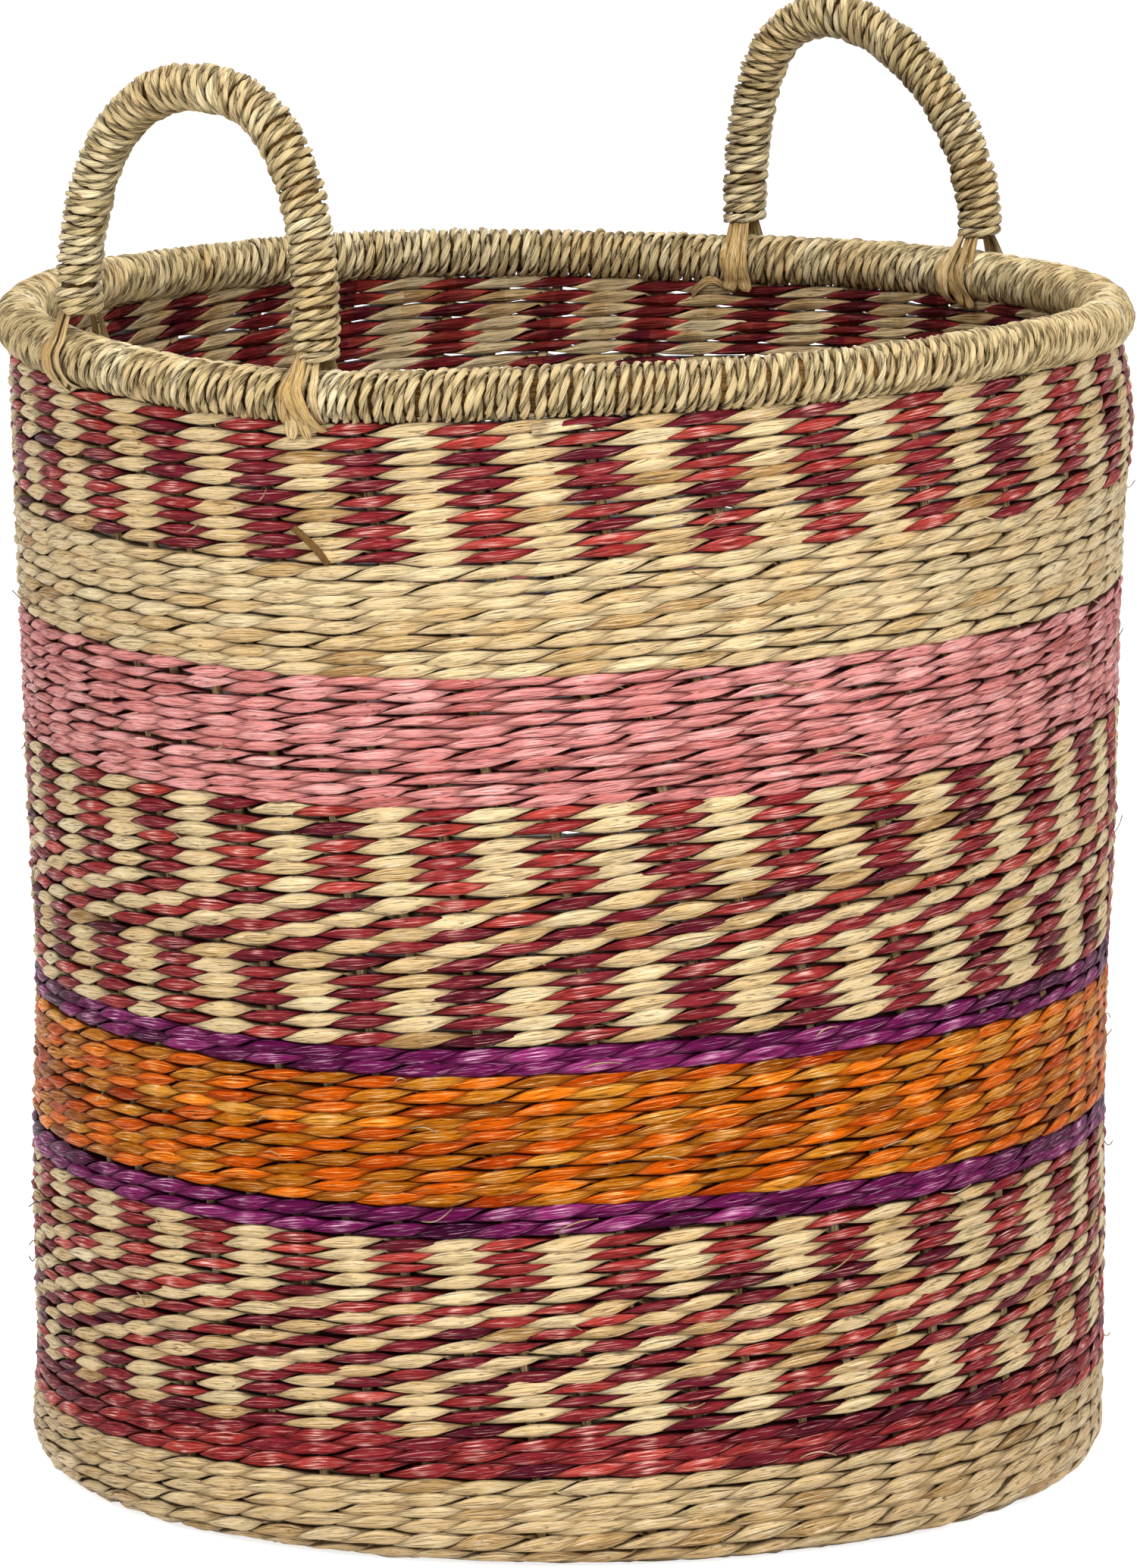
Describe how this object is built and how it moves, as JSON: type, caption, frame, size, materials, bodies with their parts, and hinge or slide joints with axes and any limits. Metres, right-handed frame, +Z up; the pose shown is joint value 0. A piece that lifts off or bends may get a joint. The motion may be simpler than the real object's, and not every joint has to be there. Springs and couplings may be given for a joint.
{
  "type": "storage basket",
  "caption": "Tall round open basket woven from dyed and natural seagrass in bands, with a bound rim and two upright loop handles lashed to it.",
  "frame": {"origin": "on the floor under the middle of the base", "axes": "+Z up through the mouth, +X towards the right handle, -X towards the left handle, +Y towards the back, which both handles stand a little nearer"},
  "size_m": [0.3773, 0.3764, 0.4762],
  "materials": {
    "natural_seagrass": "dried natural seagrass strands, pale straw, satin sheen",
    "seagrass_cord": "two-ply twisted seagrass cord, greenish straw, matt to satin",
    "dark_red_seagrass": "seagrass dyed dark red, satin sheen",
    "checked_seagrass": "natural and red-dyed seagrass strands twined together",
    "purple_seagrass": "seagrass dyed purple, satin sheen",
    "orange_seagrass": "seagrass dyed orange and ochre, satin sheen",
    "pink_seagrass": "seagrass dyed dusty pink, satin sheen"
  },
  "bodies": {
    "basket": {"stakes": "natural_seagrass", "base": "natural_seagrass", "natural_foot_band": "natural_seagrass", "dark_red_band": "dark_red_seagrass", "checks_lower_band": "checked_seagrass", "purple_lower_band": "purple_seagrass", "orange_band": "orange_seagrass", "purple_upper_band": "purple_seagrass", "checks_middle_band": "checked_seagrass", "pink_band": "pink_seagrass", "natural_band": "natural_seagrass", "checks_top_band": "checked_seagrass", "rim_hoop": "natural_seagrass", "rim_binding": "seagrass_cord", "lashing_left_back": "natural_seagrass", "lashing_left_front": "natural_seagrass", "lashing_right_back": "natural_seagrass", "lashing_right_front": "natural_seagrass"},
    "handle_left": {"handle_left_core": "natural_seagrass", "handle_left_binding": "seagrass_cord"},
    "handle_right": {"handle_right_core": "natural_seagrass", "handle_right_binding": "seagrass_cord"}
  },
  "joints": [
    {"name": "handle_left_tilt", "type": "hinge", "parent": "basket", "child": "handle_left", "pos_m": [-0.17238, 0.00994, 0.39428], "axis": [-0.0576, -0.9983, 0], "range_deg": [-45, 45]},
    {"name": "handle_right_tilt", "type": "hinge", "parent": "basket", "child": "handle_right", "pos_m": [0.17352, 0.01549, 0.39428], "axis": [-0.0889, 0.996, 0], "range_deg": [-45, 45]}
  ]
}
